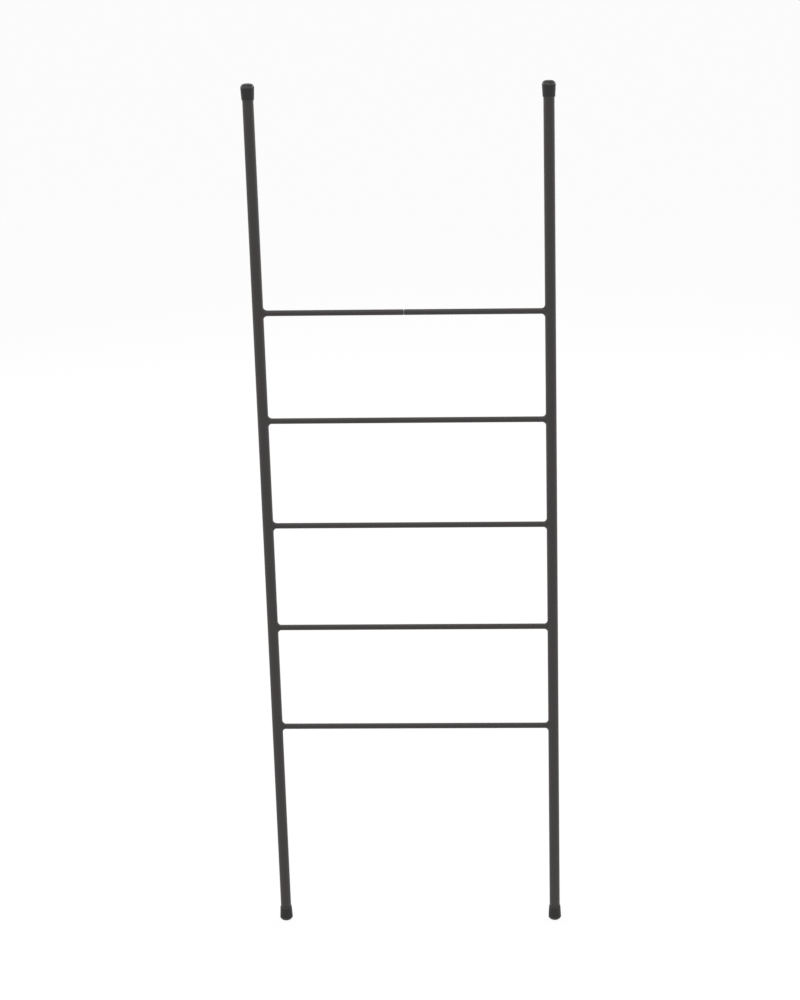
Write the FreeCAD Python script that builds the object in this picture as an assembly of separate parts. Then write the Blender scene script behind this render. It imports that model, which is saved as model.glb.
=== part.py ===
import FreeCAD, Part

import os

from FreeCAD import Vector

# Blanket ladder: two round stiles, five round rungs welded between them, and a moulded
# push-on cap on each of the four tube ends.  Millimetres.  +Z runs up along the stiles,
# +X from one stile to the other, and the origin is on the floor midway between the feet.

# ---- overall ----
OVERALL_HEIGHT = 1500.0      # flat end of the foot caps to flat end of the top caps
STILE_SPACING = 482.0        # centre to centre
RUNG_COUNT = 5
RUNG_PITCH = 186.0

# ---- stiles: round tube ----
STILE_DIAMETER = 18.0
STILE_WALL = 1.2

# ---- rungs: round bar ----
RUNG_DIAMETER = 9.5
SCORED_RUNG = 1              # counted from the top
SCORE_WIDTH = 1.4            # across the open top of the V
SCORE_DEPTH = 0.7

# ---- weld beads ----
WELD_HOLLOW = 6.8            # radius of the bead's hollow face
WELD_TOE = 0.2               # blunts the bead's edge, which would otherwise run out to nothing

# ---- caps ----
CAP_FIT = 0.05               # all round, between the tube and the cap's bore
CAP_LENGTH = 26.0
CAP_END_WALL = 4.0           # between the cap's flat end and the end of the tube
CAP_FLAT_DIAMETER = 11.0     # flat in the middle of the cap's end
CAP_RIM_HEIGHT = 4.2         # the cap's widest ring, above its flat end
CAP_RIM_ROUND = 1.4          # rounding of that ring, measured along the cap
CAP_RIM_WALL = 2.25          # rubber outside the bore at the widest ring
CAP_SKIRT_WALL = 1.15        # rubber outside the bore where the skirt's taper ends
CAP_MOUTH_WALL = 0.6         # rubber left at the rounded-off mouth
CAP_MOUTH_ROUND = 1.6        # length of that rounding
CROWN_BULGE = 0.16           # height of the crown's arc over its chord, as a share of the chord
RIM_BULGE = 0.2              # the same for the arc round the widest ring
MOUTH_BULGE = 0.08           # and for the arc into the mouth

# ---- derived ----
STILE_RADIUS = STILE_DIAMETER / 2
STILE_X = STILE_SPACING / 2
RUNG_RADIUS = RUNG_DIAMETER / 2
BORE_RADIUS = STILE_RADIUS + CAP_FIT
UP = Vector(0, 0, 1)
ALONG_RUNG = Vector(1, 0, 0)


def rung_height(number):
    """Height of a rung's axis.  Rung 1 is the top one, and the set is centred on the stiles."""
    middle_number = (RUNG_COUNT + 1) / 2
    return OVERALL_HEIGHT / 2 + (middle_number - number) * RUNG_PITCH


def upright(radius, x, bottom, top):
    return Part.makeCylinder(radius, top - bottom, Vector(x, 0, bottom))


def make_stile(x):
    """Plain round tube, each end seated on the floor of its cap's bore."""
    bottom = CAP_END_WALL
    top = OVERALL_HEIGHT - CAP_END_WALL
    tube = upright(STILE_RADIUS, x, bottom, top)
    return tube.cut(upright(STILE_RADIUS - STILE_WALL, x, bottom, top))


def make_rung(z):
    """Round bar, its ends coped to the stiles' curved sides."""
    bar = Part.makeCylinder(RUNG_RADIUS, STILE_SPACING, Vector(-STILE_X, 0, z), ALONG_RUNG)
    for x in (-STILE_X, STILE_X):
        bar = bar.cut(upright(STILE_RADIUS, x, z - RUNG_DIAMETER, z + RUNG_DIAMETER))
    return bar


def score(bar, z):
    """A fine V groove all round the bar, halfway along it."""
    above = z + RUNG_RADIUS + SCORE_DEPTH
    corners = [
        Vector(0, 0, z + RUNG_RADIUS - SCORE_DEPTH),
        Vector(SCORE_WIDTH, 0, above),
        Vector(-SCORE_WIDTH, 0, above),
    ]
    vee = Part.Face(Part.makePolygon(corners + corners[:1]))
    return bar.cut(vee.revolve(Vector(0, 0, z), ALONG_RUNG, 360))


def make_weld():
    """Fillet bead all round the foot of a rung on the left stile, the rung's axis at z = 0.

    The fillet is rolled into the corner of two slightly thinner members, and the real
    members are then taken out of it, which leaves a saddle-shaped ring with blunt edges.
    """
    reach = RUNG_RADIUS + 2 * WELD_HOLLOW
    run = STILE_RADIUS + 2 * WELD_HOLLOW
    start = Vector(-STILE_X, 0, 0)
    stile = upright(STILE_RADIUS - WELD_TOE, -STILE_X, -reach, reach)
    rung = Part.makeCylinder(RUNG_RADIUS - WELD_TOE, run, start, ALONG_RUNG)
    joint = stile.fuse(rung).removeSplitter()
    corner = [e for e in joint.Edges if not isinstance(e.Curve, (Part.Line, Part.Circle))]
    bead = joint.makeFillet(WELD_HOLLOW, corner)
    bead = bead.cut(upright(STILE_RADIUS, -STILE_X, -2 * reach, 2 * reach))
    return bead.cut(Part.makeCylinder(RUNG_RADIUS, 2 * run, start, ALONG_RUNG))


def cap_section():
    """Half section of a cap in the XZ plane, its flat end on z = 0 and its mouth upwards."""
    rim = BORE_RADIUS + CAP_RIM_WALL
    half_round = CAP_RIM_ROUND / 2
    centre = Vector(0, 0, 0)
    flat_edge = Vector(CAP_FLAT_DIAMETER / 2, 0, 0)
    crown_edge = Vector(rim - half_round, 0, CAP_RIM_HEIGHT - half_round)
    skirt_start = Vector(rim, 0, CAP_RIM_HEIGHT + half_round)
    skirt_end = Vector(BORE_RADIUS + CAP_SKIRT_WALL, 0, CAP_LENGTH - CAP_MOUTH_ROUND)
    mouth_outside = Vector(BORE_RADIUS + CAP_MOUTH_WALL, 0, CAP_LENGTH)
    mouth_inside = Vector(BORE_RADIUS, 0, CAP_LENGTH)
    bore_corner = Vector(BORE_RADIUS, 0, CAP_END_WALL)
    bore_centre = Vector(0, 0, CAP_END_WALL)

    # each arc passes beside the middle of its chord, on the outside
    def arc(start, end, bulge):
        chord = end - start
        outwards = Vector(chord.z, 0, -chord.x)
        return Part.Arc(start, (start + end) * 0.5 + outwards * bulge, end).toShape()

    def line(start, end):
        return Part.LineSegment(start, end).toShape()

    return Part.Face(Part.Wire([
        line(centre, flat_edge),
        arc(flat_edge, crown_edge, CROWN_BULGE),
        arc(crown_edge, skirt_start, RIM_BULGE),
        line(skirt_start, skirt_end),
        arc(skirt_end, mouth_outside, MOUTH_BULGE),
        line(mouth_outside, mouth_inside),
        line(mouth_inside, bore_corner),
        line(bore_corner, bore_centre),
        line(bore_centre, centre),
    ]))


def make_cap():
    return cap_section().revolve(Vector(0, 0, 0), UP, 360)


def make_foot_cap(x):
    return make_cap().translated(Vector(x, 0, 0))


def make_top_cap(x):
    flipped = make_cap().rotated(Vector(0, 0, 0), ALONG_RUNG, 180)
    return flipped.translated(Vector(x, 0, OVERALL_HEIGHT))


def build():
    """Every piece, by node name."""
    nodes = {}
    for name, side in (("left", -1), ("right", 1)):
        x = side * STILE_X
        nodes["%s_stile" % name] = make_stile(x)
        nodes["top_cap_%s" % name] = make_top_cap(x)
        nodes["foot_cap_%s" % name] = make_foot_cap(x)
    left_weld = make_weld()
    right_weld = left_weld.rotated(Vector(0, 0, 0), UP, 180)
    for number in range(1, RUNG_COUNT + 1):
        z = rung_height(number)
        rung = make_rung(z)
        if number == SCORED_RUNG:
            rung = score(rung, z)
        nodes["rung_%d" % number] = rung
        nodes["weld_left_%d" % number] = left_weld.translated(Vector(0, 0, z))
        nodes["weld_right_%d" % number] = right_weld.translated(Vector(0, 0, z))
    return nodes


os.makedirs("parts", exist_ok=True)
for node, shape in build().items():
    shape.exportStep("parts/%s.step" % node)
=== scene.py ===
import math

import bmesh
import bpy
from bpy.props import FloatProperty, FloatVectorProperty, IntProperty, PointerProperty
from mathutils import Matrix, Vector, noise


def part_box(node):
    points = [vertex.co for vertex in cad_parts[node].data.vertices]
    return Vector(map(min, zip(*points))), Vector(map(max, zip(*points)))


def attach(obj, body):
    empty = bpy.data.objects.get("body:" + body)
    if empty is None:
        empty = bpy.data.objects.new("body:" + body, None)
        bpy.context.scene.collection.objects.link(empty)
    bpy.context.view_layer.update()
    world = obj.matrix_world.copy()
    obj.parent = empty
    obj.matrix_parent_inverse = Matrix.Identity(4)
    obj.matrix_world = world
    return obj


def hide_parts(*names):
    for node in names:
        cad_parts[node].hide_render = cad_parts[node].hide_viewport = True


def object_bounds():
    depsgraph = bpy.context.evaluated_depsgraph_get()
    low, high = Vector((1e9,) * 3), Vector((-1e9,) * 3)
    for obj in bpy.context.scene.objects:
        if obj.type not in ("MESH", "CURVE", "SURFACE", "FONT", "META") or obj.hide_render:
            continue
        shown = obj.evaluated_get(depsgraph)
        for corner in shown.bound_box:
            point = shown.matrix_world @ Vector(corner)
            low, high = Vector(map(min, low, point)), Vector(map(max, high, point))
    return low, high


bl_info = {
    "name": "Blanket Ladder",
    "version": (1, 0, 0),
    "blender": (4, 5, 0),
    "location": "3D View > Sidebar > Ladder",
    "description": "Builds a tube and bar blanket ladder with welded joints and push-on caps",
    "category": "Object",
}

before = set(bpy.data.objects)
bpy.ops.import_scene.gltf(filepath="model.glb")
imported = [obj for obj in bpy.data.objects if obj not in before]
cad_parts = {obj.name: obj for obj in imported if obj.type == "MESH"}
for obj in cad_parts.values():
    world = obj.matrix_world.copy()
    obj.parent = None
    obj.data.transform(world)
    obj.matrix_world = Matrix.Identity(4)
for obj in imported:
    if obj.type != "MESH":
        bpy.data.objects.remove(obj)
cad_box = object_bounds()

MM = 0.001
SIDES = {"left": -1, "right": 1}
ENDS = ("top", "foot")

# ---- places read from the frame ----
RUNG_NODES = sorted(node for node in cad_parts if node.startswith("rung_"))
RUNG_BOXES = {int(node.split("_")[1]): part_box(node) for node in RUNG_NODES}
RUNG_HEIGHTS = {number: (low.z + high.z) / 2 for number, (low, high) in RUNG_BOXES.items()}
RUNG_LOW, RUNG_HIGH = RUNG_BOXES[max(RUNG_BOXES)]
STILE_LOW, STILE_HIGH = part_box("right_stile")
STILE_X = (STILE_LOW.x + STILE_HIGH.x) / 2
CAP_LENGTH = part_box("foot_cap_right")[1].z
LADDER_HEIGHT = cad_box[1][2]

# ---- how finely round shapes are cut ----
TURN_STEPS = 96
CAP_STEPS = 128
ARC_STEPS = 8
BEAD_STEPS = 14
STEPS_A_RIPPLE = 8
SHARP_ANGLE = math.radians(40)
MERGE_DISTANCE = 0.002 * MM

# ---- ripples, lumps and crater of a bead ----
RIPPLE_FLATNESS = 2.2  # the higher, the flatter a ripple's top and the finer its valleys
RIPPLE_DRIFT = 0.25  # how far ripples wander from their even places, in ripples
DRIFT_PACE = 3  # how fast that wandering changes along the run
TOE_RIPPLE = 0.35  # share of a ripple's height that is left at the bead's edges
LUMP_PACE = 1.6  # how fast lumps change round the bar
LUMP_PACE_ACROSS = 1.5  # and from the tube to the bar
BEAD_GAP = 5.7  # keeps the beads' places in the noise apart, so that no two are alike
CRATER_ANGLE = math.radians(-150)
CRATER_SPREAD = math.radians(20)
CRATER_PLACE = 0.3  # from 0 on the tube to 1 on the bar
CRATER_WIDTH = 0.35

# ---- powder coat ----
# blotch sizes of its grains
SAND = 0.45 * MM
ORANGE_PEEL = 2.6 * MM
NIBS = 1.7 * MM
CLOUDS = 60 * MM
# where nibs stand and where the cooler tone lies, as (grain, share) stops
NIB_STOPS = ((0.72, 0), (0.78, 1))
TONE_STOPS = ((0.4, 0), (0.6, 1))
# height of the orange peel, and of sand and nibs as shares of it
COAT_RELIEF = 0.07 * MM
SAND_RELIEF = 0.7
NIB_RELIEF = 0.5
# shade of the coat, and what clouds and sand add to it
COAT_SHADE = 0.86
CLOUD_SHADE = 0.2
SAND_SHADE = 0.12
# the same for roughness
COAT_ROUGHNESS = 0.48
BEAD_ROUGHNESS = 0.44
CLOUD_ROUGHNESS = 0.08
SAND_ROUGHNESS = 0.06
# how far the edge of bare steel wanders, and how much smoother it is than the coat
SCORE_FRAY = 0.3 * MM
SCORE_POLISH = 0.15

# ---- rubber ----
# blotch sizes of its grains, and how flow marks are drawn out along the cap
STIPPLE = 0.35 * MM
SPECKS = 0.9 * MM
FLOW_MARKS = 5 * MM
FLOW_STRETCH = (1, 1, 0.4)
# where specks lie, as (grain, share) stops
SPECK_STOPS = ((0.64, 0), (0.74, 1))
# height of stipple and flow marks
RUBBER_RELIEF = 0.03 * MM
# shade of the rubber, and what flow marks add to it
RUBBER_SHADE = 0.8
FLOW_SHADE = 0.4
# dust on specks, the paler bands of scuffs and painted highlights, and what flow marks add to those
# bands
SPECK_DUST = 0.5
SCUFF_AND_HIGHLIGHT_SHARE = 0.15
FLOW_SCUFF_AND_HIGHLIGHT = 0.36
# roughness, what flow marks and specks add to it, and how much smoother the bands of scuffs and
# painted highlights are
RUBBER_ROUGHNESS = 0.56
FLOW_ROUGHNESS = 0.14
SPECK_ROUGHNESS = 0.1
SCUFF_AND_HIGHLIGHT_POLISH = 0.5
# painted shade on the flat end and crown, and painted highlights, partly scuffs, on the rim and at
# the mouth, along a cap from 0 at its flat end to 1 at its mouth
PAINTED_SHADE_CROWN_STOPS = ((0.08, 0.45), (0.14, 1))
SCUFF_AND_HIGHLIGHT_STOPS = ((0.09, 0), (0.13, 1), (0.19, 1), (0.25, 0), (0.94, 0), (0.965, 1))

# index of refraction of powder coat and rubber
REFRACTION = 1.45

# ---- soft square lamps: where they stand, the length of a side, and watts ----
PANELS = {
    "top": {"place": (-0.5, -0.8, 3.7), "size": 1.5, "power": 27},
    "left": {"place": (-3.0, 0.2, 0.7), "size": 2.2, "power": 6},
    "right": {"place": (3.0, 0.2, 0.7), "size": 2.2, "power": 8},
    "back_left": {"place": (-2.0, 2.6, 2.2), "size": 2.0, "power": 60},
    "back_right": {"place": (2.0, 2.6, 2.2), "size": 2.0, "power": 60},
}
PANEL_AIM = (0, 0, 0.75)


# ------------------------------------------------------------------ settings


class TubeSettings(bpy.types.PropertyGroup):
    """Sizes of the two upright tubes."""

    diameter: FloatProperty(
        name="Tube diameter",
        description="Outside of the round tube",
        default=STILE_HIGH.x - STILE_LOW.x,
        unit="LENGTH",
    )
    wall: FloatProperty(
        name="Tube wall",
        description="Thickness of the tube's wall",
        default=1.2 * MM,
        unit="LENGTH",
    )
    deburr: FloatProperty(
        name="Deburred edge",
        description="Width of the bevel on the sawn ends",
        default=0.25 * MM,
        unit="LENGTH",
    )


class RungSettings(bpy.types.PropertyGroup):
    """Sizes of the round bars between the tubes."""

    diameter: FloatProperty(
        name="Bar diameter",
        description="Outside of the round bar",
        default=RUNG_HIGH.z - RUNG_LOW.z,
        unit="LENGTH",
    )
    scored: IntProperty(
        name="Scored rung",
        description="Rung with a fine groove round its middle, counted from the top",
        default=1,
    )
    score_width: FloatProperty(
        name="Score width",
        description="Width of that groove along the bar",
        default=1.4 * MM,
        unit="LENGTH",
    )
    score_depth: FloatProperty(
        name="Score depth",
        description="Depth of that groove",
        default=0.7 * MM,
        unit="LENGTH",
    )


class WeldSettings(bpy.types.PropertyGroup):
    """Shape of the bead round each end of a rung."""

    hollow: FloatProperty(
        name="Hollow radius",
        description="Radius of the bead's hollow face",
        default=6.8 * MM,
        unit="LENGTH",
    )
    toe: FloatProperty(
        name="Toe depth",
        description="How far the bead's edges are sunk into tube and bar",
        default=0.2 * MM,
        unit="LENGTH",
    )
    ripples: IntProperty(
        name="Ripples",
        description="Ripples in the bead, once round the bar",
        default=27,
    )
    ripple_height: FloatProperty(
        name="Ripple height",
        description="Height of a ripple over the valley beside it",
        default=0.16 * MM,
        unit="LENGTH",
    )
    ripple_curl: FloatProperty(
        name="Ripple curl",
        description="How far a ripple bends back at its ends, in ripples",
        default=0.9,
    )
    lump_height: FloatProperty(
        name="Lump height",
        description="Slow rise and fall of the bead along its run",
        default=0.35 * MM,
        unit="LENGTH",
    )
    crater_depth: FloatProperty(
        name="Crater depth",
        description="Dip where the run stops, low on the front of the joint",
        default=0.45 * MM,
        unit="LENGTH",
    )


class CapSettings(bpy.types.PropertyGroup):
    """Section of the moulded cap, measured from its flat end."""

    fit: FloatProperty(
        name="Fit",
        description="Gap all round between the tube and the cap's bore",
        default=0.05 * MM,
        unit="LENGTH",
    )
    end_wall: FloatProperty(
        name="End wall",
        description="Rubber between the flat end and the tube",
        default=STILE_LOW.z,
        unit="LENGTH",
    )
    flat_diameter: FloatProperty(
        name="Flat diameter",
        description="Flat in the middle of the end",
        default=11 * MM,
        unit="LENGTH",
    )
    rim_height: FloatProperty(
        name="Rim height",
        description="Height of the widest ring above the flat end",
        default=4.2 * MM,
        unit="LENGTH",
    )
    rim_round: FloatProperty(
        name="Rim rounding",
        description="Length along the cap of the rounding of that ring",
        default=1.4 * MM,
        unit="LENGTH",
    )
    rim_wall: FloatProperty(
        name="Rim wall",
        description="Rubber outside the bore at the widest ring",
        default=2.2 * MM,
        unit="LENGTH",
    )
    skirt_wall: FloatProperty(
        name="Skirt wall",
        description="Rubber outside the bore where the taper ends",
        default=1.15 * MM,
        unit="LENGTH",
    )
    mouth_wall: FloatProperty(
        name="Mouth wall",
        description="Rubber left at the rounded-off mouth",
        default=0.6 * MM,
        unit="LENGTH",
    )
    mouth_round: FloatProperty(
        name="Mouth rounding",
        description="Length of the rounding into the mouth",
        default=1.6 * MM,
        unit="LENGTH",
    )
    crown_bulge: FloatProperty(
        name="Crown bulge",
        description="Height of the crown's arc over its chord, as a share of the chord",
        default=0.16,
    )
    rim_bulge: FloatProperty(
        name="Rim bulge",
        description="The same for the arc round the widest ring",
        default=0.2,
    )
    mouth_bulge: FloatProperty(
        name="Mouth bulge",
        description="The same for the arc into the mouth",
        default=0.08,
    )


class FinishSettings(bpy.types.PropertyGroup):
    """Colours of the powder coat, the bare steel and the rubber."""

    warm_coat: FloatVectorProperty(
        name="Warm powder coat",
        description="The warmer of the two tones of the coat on tube, bars and welds",
        subtype="COLOR",
        size=4,
        default=(0.034, 0.0268, 0.0272, 1),
    )
    cool_coat: FloatVectorProperty(
        name="Cool powder coat",
        description="The cooler of the two tones of that coat",
        subtype="COLOR",
        size=4,
        default=(0.0305, 0.0280, 0.0268, 1),
    )
    steel: FloatVectorProperty(
        name="Bare steel",
        description="Colour of the steel where the top rung is scored",
        subtype="COLOR",
        size=4,
        default=(0.42, 0.41, 0.4, 1),
    )
    rubber: FloatVectorProperty(
        name="Rubber",
        description="Colour of the moulded caps",
        subtype="COLOR",
        size=4,
        default=(0.011, 0.0104, 0.0100, 1),
    )
    # also the colour of the painted highlights on the caps' rims and mouths
    dust: FloatVectorProperty(
        name="Dust",
        description="Colour of the faint dust and the scuffs on the rubber",
        subtype="COLOR",
        size=4,
        default=(0.09, 0.086, 0.08, 1),
    )


class StageSettings(bpy.types.PropertyGroup):
    """Camera, floor and lights."""

    camera_place: FloatVectorProperty(
        name="Camera place",
        description="Where the camera stands",
        subtype="TRANSLATION",
        default=(0.2445, -3.764, 2.0978),
    )
    camera_aim: FloatVectorProperty(
        name="Camera aim",
        description="Point on the camera's line of sight",
        subtype="TRANSLATION",
        default=(0.1339, 0.0, 0.8416),
    )
    camera_roll: FloatProperty(
        name="Camera roll",
        description="Turn of the camera about its line of sight",
        default=math.radians(-0.927),
        unit="ROTATION",
    )
    lens: FloatProperty(
        name="Lens",
        description="Focal length in millimetres, on a frame 36 mm high",
        default=85,
    )
    camera_shift: FloatVectorProperty(
        name="Camera shift",
        description="Shift of the lens, as a share of the picture's longer side",
        size=2,
        default=(-0.0879, -0.0268),
    )
    floor_size: FloatProperty(
        name="Floor size",
        description="Side of the square floor",
        default=80,
        unit="LENGTH",
    )
    floor_colour: FloatVectorProperty(
        name="Floor colour",
        description="Colour of the pale floor",
        subtype="COLOR",
        size=4,
        default=(0.9, 0.9, 0.9, 1),
    )
    paleness: FloatProperty(
        name="Paleness",
        description="Share of plain white in what the camera sees of the floor",
        default=0.93,
        subtype="FACTOR",
    )
    sky_level: FloatProperty(
        name="Sky level",
        description="Strength of the even light from all sides",
        default=0.65,
    )


# ------------------------------------------------------------------ shaders


class Socket:
    """An output of a shader node.  Arithmetic on it adds Math nodes to its tree."""

    def __init__(self, shader, output):
        self.shader = shader
        self.output = output

    def __add__(self, other):
        return self.shader.maths("ADD", self, other)

    __radd__ = __add__

    def __sub__(self, other):
        return self.shader.maths("SUBTRACT", self, other)

    def __rsub__(self, other):
        return self.shader.maths("SUBTRACT", other, self)

    def __mul__(self, other):
        return self.shader.maths("MULTIPLY", self, other)

    __rmul__ = __mul__

    def __abs__(self):
        return self.shader.maths("ABSOLUTE", self)

    def least(self, other):
        """The lesser of two values."""
        return self.shader.maths("MINIMUM", self, other)

    def below(self, limit):
        """1 where the value is less than the limit, and 0 elsewhere."""
        return self.shader.maths("LESS_THAN", self, limit)


class Shader:
    """A material's or world's node tree.  Every node in it is made by the node method."""

    # a Mix node's sockets when it mixes colours
    MIX_FACTOR, MIX_FIRST, MIX_SECOND, MIX_RESULT = 0, 6, 7, 2

    def __init__(self, owner):
        owner.use_nodes = True
        self.tree = owner.node_tree
        self.tree.nodes.clear()

    def node(self, kind, settings, sockets, output=0):
        """Adds a node: its settings first, then the values or links of its sockets."""
        made = self.tree.nodes.new(kind)
        for name, value in settings.items():
            if name == "stops":
                set_stops(made.color_ramp, value)
            else:
                setattr(made, name, value)
        for key, value in sockets.items():
            if isinstance(value, Socket):
                self.tree.links.new(value.output, made.inputs[key])
            else:
                made.inputs[key].default_value = value
        return Socket(self, made.outputs[output]) if made.outputs else made

    def maths(self, operation, *terms):
        """A Math node on sockets and numbers."""
        return self.node("ShaderNodeMath", {"operation": operation}, dict(enumerate(terms)))

    def place(self):
        """Object coordinates, which on these pieces are metres in the frame."""
        return self.node("ShaderNodeTexCoord", {}, {}, "Object")

    def along(self, axis):
        """Distance along axis "X", "Y" or "Z" of the frame."""
        return self.node("ShaderNodeSeparateXYZ", {}, {"Vector": self.place()}, axis)

    def grain(self, size, detail=2.0, stretch=(1, 1, 1)):
        """Noise whose blotches are about size across, from 0 to 1."""
        where = self.node("ShaderNodeMapping", {}, {"Vector": self.place(), "Scale": stretch})
        return self.node(
            "ShaderNodeTexNoise", {}, {"Vector": where, "Scale": 1 / size, "Detail": detail}
        )

    def ramp(self, factor, stops):
        """A grey ramp through (position, value) stops."""
        return self.node("ShaderNodeValToRGB", {"stops": stops}, {"Fac": factor})

    def mix(self, factor, first, second):
        """A colour between two."""
        sockets = {self.MIX_FACTOR: factor, self.MIX_FIRST: first, self.MIX_SECOND: second}
        return self.node("ShaderNodeMix", {"data_type": "RGBA"}, sockets, self.MIX_RESULT)

    def shade(self, colour, factor):
        """A colour, without its alpha, times a grey factor."""
        return self.node(
            "ShaderNodeVectorMath", {"operation": "SCALE"}, {0: colour, "Scale": factor}
        )

    def surface(self, shown):
        """Joins what the material shows to its output."""
        self.node("ShaderNodeOutputMaterial", {}, {"Surface": shown})

    def skin(self, colour, roughness, height, relief, metallic=0.0):
        """The surface of a solid piece.  A height of 1 stands out from it by the relief."""
        bump = {"Height": height, "Distance": relief}
        looks = {
            "Base Color": colour,
            "Metallic": metallic,
            "Roughness": roughness,
            "IOR": REFRACTION,
            "Normal": self.node("ShaderNodeBump", {}, bump),
        }
        self.surface(self.node("ShaderNodeBsdfPrincipled", {}, looks))


def set_stops(ramp, stops):
    """Gives a colour ramp just these stops, in grey."""
    while len(ramp.elements) > len(stops):
        ramp.elements.remove(ramp.elements[-1])
    while len(ramp.elements) < len(stops):
        ramp.elements.new(1)
    for element, (position, value) in zip(ramp.elements, stops):
        element.position = position
        element.color = (value, value, value, 1)


def coated_steel(name, finish, roughness, score_width=0.0):
    """Satin powder coat: a fine even sand over a slight orange peel, with a few nibs.

    A rung that is scored round its middle shows bare steel over the width of the score.
    """
    material = bpy.data.materials.new(name)
    shader = Shader(material)
    sand = shader.grain(SAND)
    peel = shader.grain(ORANGE_PEEL, detail=1)
    cloud = shader.grain(CLOUDS, detail=3)
    nib = shader.ramp(shader.grain(NIBS, detail=0), NIB_STOPS)
    height = sand * SAND_RELIEF + peel + nib * NIB_RELIEF
    tone = shader.ramp(cloud, TONE_STOPS)
    colour = shader.mix(tone, tuple(finish.warm_coat), tuple(finish.cool_coat))
    colour = shader.shade(colour, COAT_SHADE + cloud * CLOUD_SHADE + sand * SAND_SHADE)
    roughness = roughness + cloud * CLOUD_ROUGHNESS + sand * SAND_ROUGHNESS
    bare = 0.0
    if score_width:
        bare = (abs(shader.along("X")) + sand * SCORE_FRAY).below(score_width / 2)
        colour = shader.mix(bare, colour, tuple(finish.steel))
        roughness = roughness - bare * SCORE_POLISH
    shader.skin(colour, roughness, height, COAT_RELIEF, metallic=bare)
    return material


def moulded_rubber(name, finish):
    """Matt moulded rubber: a fine stipple, soft flow marks and a breath of dust.

    The flat end and crown of a cap are painted darker as painted shade, and its rim and mouth are
    painted paler as painted highlights, partly scuffs, and are smoother.
    """
    material = bpy.data.materials.new(name)
    shader = Shader(material)
    stipple = shader.grain(STIPPLE)
    flow = shader.grain(FLOW_MARKS, detail=3, stretch=FLOW_STRETCH)
    specks = shader.ramp(shader.grain(SPECKS, detail=1), SPECK_STOPS)
    z = shader.along("Z")
    from_end = z.least(LADDER_HEIGHT - z) * (1 / CAP_LENGTH)
    # painted shade: darker over the flat end and the inner crown of each cap
    crown = shader.ramp(from_end, PAINTED_SHADE_CROWN_STOPS)
    # painted highlight, partly scuffs: a pale ring round the rim and a pale edge at the mouth, in
    # the dust colour
    scuff_and_highlight = shader.ramp(from_end, SCUFF_AND_HIGHLIGHT_STOPS) * (SCUFF_AND_HIGHLIGHT_SHARE + flow * FLOW_SCUFF_AND_HIGHLIGHT)
    # the rubber's colour times the flow marks and the painted shade of the crown
    black_with_painted_shade = shader.shade(tuple(finish.rubber[:3]), (RUBBER_SHADE + flow * FLOW_SHADE) * crown)
    colour = shader.mix(specks * flow * SPECK_DUST + scuff_and_highlight, black_with_painted_shade, tuple(finish.dust))
    roughness = RUBBER_ROUGHNESS + flow * FLOW_ROUGHNESS + specks * SPECK_ROUGHNESS
    roughness = roughness - scuff_and_highlight * SCUFF_AND_HIGHLIGHT_POLISH
    shader.skin(colour, roughness, stipple + flow, RUBBER_RELIEF)
    return material


def seen_directly(shader):
    """1 for what the camera, a gloss or glass shows, and 0 for what only gives light."""
    path = "ShaderNodeLightPath"
    camera = shader.node(path, {}, {}, "Is Camera Ray")
    glossy = shader.node(path, {}, {}, "Is Glossy Ray")
    through = shader.node(path, {}, {}, "Is Transmission Ray")
    return camera + glossy + through


def pale_floor(name, colour, paleness):
    """A pale floor that looks nearly white to the camera and still takes the shadow."""
    material = bpy.data.materials.new(name)
    shader = Shader(material)
    share = seen_directly(shader) * paleness
    lit = shader.node("ShaderNodeBsdfDiffuse", {}, {"Color": colour})
    white = shader.node("ShaderNodeEmission", {}, {"Color": (1, 1, 1, 1), "Strength": 1.0})
    shader.surface(shader.node("ShaderNodeMixShader", {}, {0: share, 1: lit, 2: white}))
    return material


# ------------------------------------------------------------------ shapes


def arc(start, end, bulge):
    """Points on an arc from start to end, both left out, that stands bulge chords high.

    Points are (radius, height) pairs, and the arc bulges to the right of its chord.
    """
    start, end = Vector(start), Vector(end)
    chord = end - start
    outwards = Vector((chord.y, -chord.x)).normalized()
    rise = bulge * chord.length
    radius = (chord.length_squared / 4 + rise * rise) / (2 * rise)
    middle = (start + end) / 2 - outwards * (radius - rise)
    half = math.asin(chord.length / 2 / radius)
    along = chord.normalized()
    points = []
    for step in range(1, ARC_STEPS):
        angle = half * (2 * step / ARC_STEPS - 1)
        points.append(middle + radius * (outwards * math.cos(angle) + along * math.sin(angle)))
    return points


def spin_row(mesh, verts, centre, axis, steps, closed=False):
    """Joins vertices into a row, or into a ring if it is closed, and spins it once round."""
    pairs = list(zip(verts, verts[1:]))
    if closed:
        pairs.append((verts[-1], verts[0]))
    edges = [mesh.edges.new(pair) for pair in pairs]
    bmesh.ops.spin(
        mesh,
        geom=verts + edges,
        cent=centre,
        axis=axis,
        dvec=(0, 0, 0),
        angle=math.tau,
        steps=steps,
        use_merge=True,
    )


def turned(outline, centre, axis, steps, closed=False):
    """Turns an outline of (radius, height) pairs about an axis through centre."""
    mesh = bmesh.new()
    across = Vector((0, 1, 0)) if axis.x else Vector((1, 0, 0))
    verts = [mesh.verts.new(centre + across * radius + axis * height) for radius, height in outline]
    spin_row(mesh, verts, centre, axis, steps, closed)
    bmesh.ops.remove_doubles(mesh, verts=mesh.verts, dist=MERGE_DISTANCE)
    return mesh


def placed(name, data):
    """A new object in the scene."""
    made = bpy.data.objects.new(name, data)
    bpy.context.scene.collection.objects.link(made)
    return made


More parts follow.
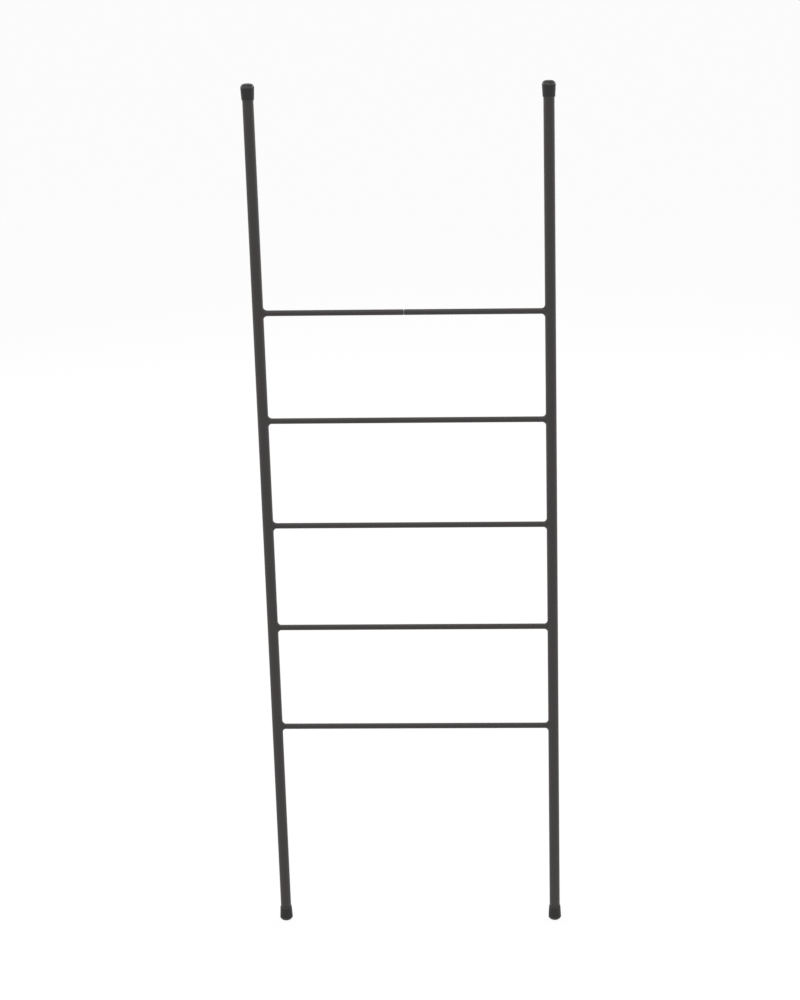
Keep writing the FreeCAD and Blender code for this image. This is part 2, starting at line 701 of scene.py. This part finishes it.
def finished(name, mesh, material, node):
    """A smooth object from a bmesh, which takes the place of one node of the frame."""
    bmesh.ops.recalc_face_normals(mesh, faces=mesh.faces)
    # the normals of a thin ring can all come out pointing inwards
    if mesh.calc_volume(signed=True) < 0:
        bmesh.ops.reverse_faces(mesh, faces=mesh.faces)
    data = bpy.data.meshes.new(name)
    mesh.to_mesh(data)
    mesh.free()
    data.shade_smooth()
    data.set_sharp_from_angle(angle=SHARP_ANGLE)
    data.materials.append(material)
    piece = placed(name, data)
    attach(piece, "root")
    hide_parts(node)


def make_tube(x, tube):
    """A stile: a sawn tube, deburred inside and out at both ends."""
    outer = tube.diameter / 2
    inner = outer - tube.wall
    bur = tube.deburr
    low, high = STILE_LOW.z, STILE_HIGH.z
    outline = [
        (inner, low + bur),
        (inner + bur, low),
        (outer - bur, low),
        (outer, low + bur),
        (outer, high - bur),
        (outer - bur, high),
        (inner + bur, high),
        (inner, high - bur),
    ]
    return turned(outline, Vector((x, 0, 0)), Vector((0, 0, 1)), TURN_STEPS, closed=True)


def make_bar(z, rung, tube_radius, scored):
    """A rung: a round bar coped to the tubes' curved sides at both ends."""
    radius = rung.diameter / 2
    reach = STILE_X - tube_radius
    outline = [(0, -reach), (radius, -reach)]
    if scored:
        half = rung.score_width / 2
        outline += [(radius, -half), (radius - rung.score_depth, 0), (radius, half)]
    outline += [(radius, reach), (0, reach)]
    mesh = turned(outline, Vector((0, 0, z)), Vector((1, 0, 0)), TURN_STEPS)
    for vert in mesh.verts:
        if abs(vert.co.x) > reach - MERGE_DISTANCE:
            coped = STILE_X - math.sqrt(tube_radius**2 - vert.co.y**2)
            vert.co.x = math.copysign(coped, vert.co.x)
    return mesh


def bead_relief(around, across, weld, number):
    """How far the bead stands proud of its smooth hollow face at one place on it.

    around is the angle about the bar, across runs from 0 on the tube to 1 on the bar, and
    number tells the beads apart.
    """
    belly = 1 - (2 * across - 1) ** 2
    phase = around / math.tau * weld.ripples + weld.ripple_curl * belly
    phase += RIPPLE_DRIFT * noise.noise(Vector((DRIFT_PACE * around, 0, number)))
    scallop = 1 - abs(2 * (phase % 1) - 1) ** RIPPLE_FLATNESS
    ripple = scallop * (TOE_RIPPLE + (1 - TOE_RIPPLE) * belly)
    where = Vector((math.cos(around), math.sin(around), number * BEAD_GAP)) * LUMP_PACE
    lump = noise.noise(where + Vector((0, 0, LUMP_PACE_ACROSS * across)))
    crater_turn = math.remainder(around - CRATER_ANGLE, math.tau) / CRATER_SPREAD
    crater_rise = (across - CRATER_PLACE) / CRATER_WIDTH
    crater = math.exp(-(crater_turn**2) - crater_rise**2)
    return weld.ripple_height * ripple + weld.lump_height * lump - weld.crater_depth * crater


def bead_spot(around, across, weld, number, tube_radius, bar_radius):
    """One point of a bead, with the bar's axis along x and the tube's axis through the origin.

    The hollow face is what a ball leaves that rolls round the corner of bar and tube.  An
    across above 1 gives the hidden root, inside both.
    """
    y = math.sin(around)
    z = math.cos(around)
    tube = tube_radius - weld.toe
    bar = bar_radius - weld.toe
    if across > 1:
        root = bar - weld.toe
        behind = tube - weld.toe
        return Vector((math.sqrt(behind**2 - (root * y) ** 2), root * y, root * z))
    from_tube = tube + weld.hollow
    from_bar = bar + weld.hollow
    reach = math.sqrt(from_tube**2 - (from_bar * y) ** 2)
    ball = Vector((reach, from_bar * y, from_bar * z))
    on_tube = Vector((ball.x * tube / from_tube, ball.y * tube / from_tube, ball.z))
    on_bar = Vector((ball.x, ball.y * bar / from_bar, ball.z * bar / from_bar))
    face = (on_tube - ball).slerp(on_bar - ball, across)
    face.length = weld.hollow - bead_relief(around, across, weld, number)
    return ball + face


def make_bead(side, z, number, weld, tube_radius, bar_radius):
    """A bead: a ring of points is spun round the bar, and each then gets its place on the bead."""
    mesh = bmesh.new()
    layer = mesh.verts.layers.float.new("across")
    verts = []
    for step in range(BEAD_STEPS + 2):
        vert = mesh.verts.new((step * weld.hollow, 0, bar_radius))
        vert[layer] = step / BEAD_STEPS
        verts.append(vert)
    steps = weld.ripples * STEPS_A_RIPPLE
    spin_row(mesh, verts, Vector(), Vector((1, 0, 0)), steps, closed=True)
    for vert in mesh.verts:
        around = math.atan2(vert.co.y, vert.co.z)
        spot = bead_spot(around, vert[layer], weld, number, tube_radius, bar_radius)
        vert.co = Vector((side * (STILE_X - spot.x), spot.y, z + spot.z))
    return mesh


def cap_outline(cap, tube_radius):
    """Half section of a cap as (radius, height) pairs, from its flat end round to its bore."""
    bore = tube_radius + cap.fit
    rim = bore + cap.rim_wall
    half = cap.rim_round / 2
    flat_edge = (cap.flat_diameter / 2, 0)
    crown_edge = (rim - half, cap.rim_height - half)
    skirt_start = (rim, cap.rim_height + half)
    skirt_end = (bore + cap.skirt_wall, CAP_LENGTH - cap.mouth_round)
    mouth_outside = (bore + cap.mouth_wall, CAP_LENGTH)
    return [
        (0, 0),
        flat_edge,
        *arc(flat_edge, crown_edge, cap.crown_bulge),
        crown_edge,
        *arc(crown_edge, skirt_start, cap.rim_bulge),
        skirt_start,
        skirt_end,
        *arc(skirt_end, mouth_outside, cap.mouth_bulge),
        mouth_outside,
        (bore, CAP_LENGTH),
        (bore, cap.end_wall),
        (0, cap.end_wall),
    ]


def make_cap(x, end, cap, tube_radius):
    """A foot cap stands on the floor, and a top cap is the same cap turned over."""
    outline = cap_outline(cap, tube_radius)
    if end == "top":
        outline = [(radius, LADDER_HEIGHT - height) for radius, height in outline]
    return turned(outline, Vector((x, 0, 0)), Vector((0, 0, 1)), CAP_STEPS)


# ------------------------------------------------------------------ operators


class LADDER_OT_stiles(bpy.types.Operator):
    """Add the two upright tubes"""

    bl_idname = "ladder.stiles"
    bl_label = "Stiles"

    def execute(self, context):
        scene = context.scene
        coat = coated_steel("tube_coat", scene.ladder_finish, COAT_ROUGHNESS)
        for name, side in SIDES.items():
            tube = make_tube(side * STILE_X, scene.ladder_tube)
            finished(f"{name}_stile_tube", tube, coat, f"{name}_stile")
        return {"FINISHED"}


class LADDER_OT_rungs(bpy.types.Operator):
    """Add the round bars between the tubes"""

    bl_idname = "ladder.rungs"
    bl_label = "Rungs"

    def execute(self, context):
        scene = context.scene
        rung = scene.ladder_rung
        finish = scene.ladder_finish
        coat = coated_steel("bar_coat", finish, COAT_ROUGHNESS)
        scored_coat = coated_steel("scored_bar_coat", finish, COAT_ROUGHNESS, rung.score_width)
        tube_radius = scene.ladder_tube.diameter / 2
        for number, z in RUNG_HEIGHTS.items():
            scored = number == rung.scored
            bar = make_bar(z, rung, tube_radius, scored)
            material = scored_coat if scored else coat
            finished(f"rung_{number}_bar", bar, material, f"rung_{number}")
        return {"FINISHED"}


class LADDER_OT_welds(bpy.types.Operator):
    """Add the rippled weld beads round the rungs' ends"""

    bl_idname = "ladder.welds"
    bl_label = "Welds"

    def execute(self, context):
        scene = context.scene
        coat = coated_steel("weld_coat", scene.ladder_finish, BEAD_ROUGHNESS)
        tube_radius = scene.ladder_tube.diameter / 2
        bar_radius = scene.ladder_rung.diameter / 2
        for name, side in SIDES.items():
            for number, z in RUNG_HEIGHTS.items():
                run = number * side
                bead = make_bead(side, z, run, scene.ladder_weld, tube_radius, bar_radius)
                weld = f"weld_{name}_{number}"
                finished(f"{weld}_bead", bead, coat, weld)
        return {"FINISHED"}


class LADDER_OT_caps(bpy.types.Operator):
    """Add the moulded caps on the tubes' ends"""

    bl_idname = "ladder.caps"
    bl_label = "Caps"

    def execute(self, context):
        scene = context.scene
        rubber = moulded_rubber("cap_rubber", scene.ladder_finish)
        tube_radius = scene.ladder_tube.diameter / 2
        for name, side in SIDES.items():
            for end in ENDS:
                node = f"{end}_cap_{name}"
                cap = make_cap(side * STILE_X, end, scene.ladder_cap, tube_radius)
                finished(f"{node}_rubber", cap, rubber, node)
        return {"FINISHED"}


class LADDER_OT_stage(bpy.types.Operator):
    """Add the camera, the pale floor and the soft lights"""

    bl_idname = "ladder.stage"
    bl_label = "Stage"

    def execute(self, context):
        stage = context.scene.ladder_stage
        add_camera(stage)
        add_floor(stage)
        add_sky(stage)
        add_panels()
        context.scene.view_settings.view_transform = "Standard"
        return {"FINISHED"}


def aimed(place, aim, roll=0.0):
    """Where something stands that looks along its own -Z at a point."""
    place = Vector(place)
    turn = (Vector(aim) - place).to_track_quat("-Z", "Y").to_matrix().to_4x4()
    return Matrix.Translation(place) @ turn @ Matrix.Rotation(roll, 4, "Z")


def add_camera(stage):
    """The camera, standing where the photograph was taken from."""
    data = bpy.data.cameras.new("camera")
    data.lens = stage.lens
    data.shift_x, data.shift_y = stage.camera_shift
    camera = placed("camera", data)
    camera.matrix_world = aimed(stage.camera_place, stage.camera_aim, stage.camera_roll)
    bpy.context.scene.camera = camera


def add_floor(stage):
    """One large square under the ladder."""
    mesh = bmesh.new()
    bmesh.ops.create_grid(mesh, x_segments=1, y_segments=1, size=stage.floor_size / 2)
    data = bpy.data.meshes.new("floor")
    mesh.to_mesh(data)
    mesh.free()
    data.materials.append(pale_floor("pale_floor", stage.floor_colour, stage.paleness))
    placed("floor", data)


def add_sky(stage):
    """Even light from all sides, which the camera and gloss see as white."""
    world = bpy.data.worlds.new("sky")
    bpy.context.scene.world = world
    shader = Shader(world)
    level = stage.sky_level
    strength = level + seen_directly(shader) * (1 - level)
    light = shader.node("ShaderNodeBackground", {}, {"Color": (1, 1, 1, 1), "Strength": strength})
    shader.node("ShaderNodeOutputWorld", {}, {"Surface": light})


def add_panels():
    """The soft square lamps, all turned to the middle of the ladder."""
    for name, panel in PANELS.items():
        data = bpy.data.lights.new(name, "AREA")
        data.size = panel["size"]
        data.energy = panel["power"]
        light = placed(name, data)
        light.matrix_world = aimed(panel["place"], PANEL_AIM)


class LADDER_PT_build(bpy.types.Panel):
    """Lists the steps that build the ladder"""

    bl_idname = "LADDER_PT_build"
    bl_label = "Blanket Ladder"
    bl_space_type = "VIEW_3D"
    bl_region_type = "UI"
    bl_category = "Ladder"

    def draw(self, context):
        column = self.layout.column()
        for step in STEPS:
            column.operator(step.bl_idname)


SETTINGS = {
    "ladder_tube": TubeSettings,
    "ladder_rung": RungSettings,
    "ladder_weld": WeldSettings,
    "ladder_cap": CapSettings,
    "ladder_finish": FinishSettings,
    "ladder_stage": StageSettings,
}
STEPS = (LADDER_OT_stiles, LADDER_OT_rungs, LADDER_OT_welds, LADDER_OT_caps, LADDER_OT_stage)


def register():
    for cls in (*SETTINGS.values(), *STEPS, LADDER_PT_build):
        bpy.utils.register_class(cls)
    for name, settings in SETTINGS.items():
        setattr(bpy.types.Scene, name, PointerProperty(type=settings))


def unregister():
    for name in SETTINGS:
        delattr(bpy.types.Scene, name)
    for cls in (LADDER_PT_build, *reversed(STEPS), *reversed(SETTINGS.values())):
        bpy.utils.unregister_class(cls)


def main():
    register()
    bpy.ops.ladder.stiles()
    bpy.ops.ladder.rungs()
    bpy.ops.ladder.welds()
    bpy.ops.ladder.caps()
    bpy.ops.ladder.stage()


if __name__ == "__main__":
    main()
